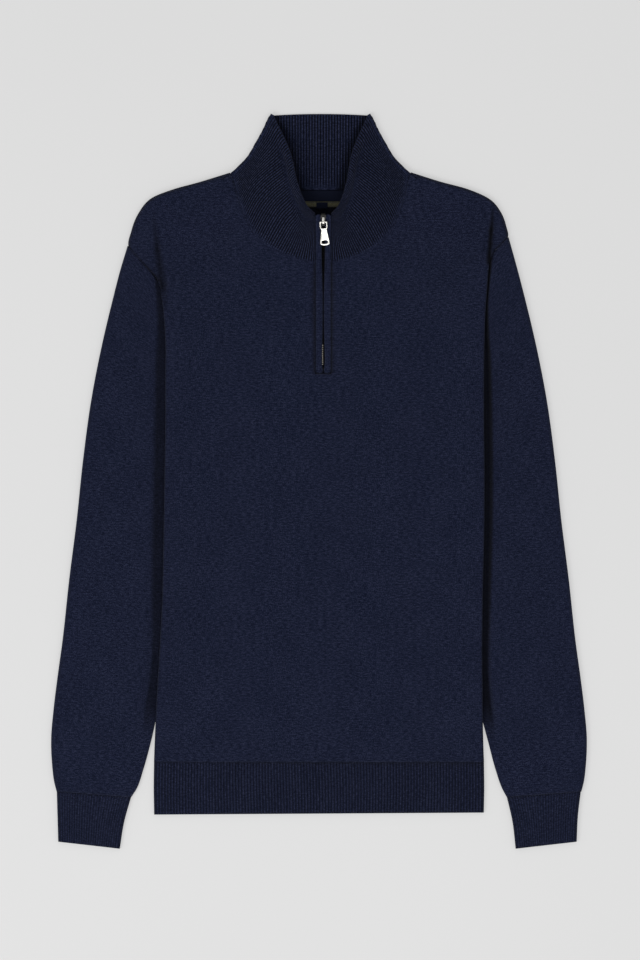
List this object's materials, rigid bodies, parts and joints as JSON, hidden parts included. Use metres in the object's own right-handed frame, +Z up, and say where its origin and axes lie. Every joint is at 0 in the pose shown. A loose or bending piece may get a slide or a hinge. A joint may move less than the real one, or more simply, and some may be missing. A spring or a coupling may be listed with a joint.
{
  "type": "quarter zip sweater",
  "caption": "Knitted sweater with a ribbed stand collar, a short front zip, ribbed hem and cuffs, laid flat on its back with its sleeves at its sides.",
  "frame": {"origin": "on the surface that the sweater lies on, below the middle of its outline", "axes": "+X to the viewer's right across the garment, +Y from hem to neck, +Z up from the surface"},
  "size_m": [0.5892, 0.8087, 0.0288],
  "materials": {
    "jersey": "navy melange plain knit, matt with a soft nap",
    "ribbing": "navy melange rib knit, matt",
    "zip_tape": "woven black navy zip tape",
    "zip_metal": "polished nickel",
    "label": "navy damask label, bare",
    "neck_tape": "olive woven tape"
  },
  "bodies": {
    "garment": {"front_body": "jersey", "back_body": "jersey", "sleeve_left": "jersey", "sleeve_right": "jersey", "cuff_left": "ribbing", "cuff_right": "ribbing", "hem_rib": "ribbing", "collar": "ribbing", "placket_left": "jersey", "placket_right": "jersey", "zip_tape_left": "zip_tape", "zip_tape_right": "zip_tape", "zip_chain": "zip_metal", "zip_bottom_stop": "zip_metal", "zip_slider": "zip_metal", "neck_label": "label", "neck_tape": "neck_tape", "size_label": "label"},
    "pull": {"pull_tab": "zip_metal"}
  },
  "joints": [
    {"name": "pull_swing", "type": "hinge", "parent": "garment", "child": "pull", "pos_m": [0.0047, 0.284, 0.0258], "axis": [-1, 0, 0], "range_deg": [0, 160]}
  ]
}
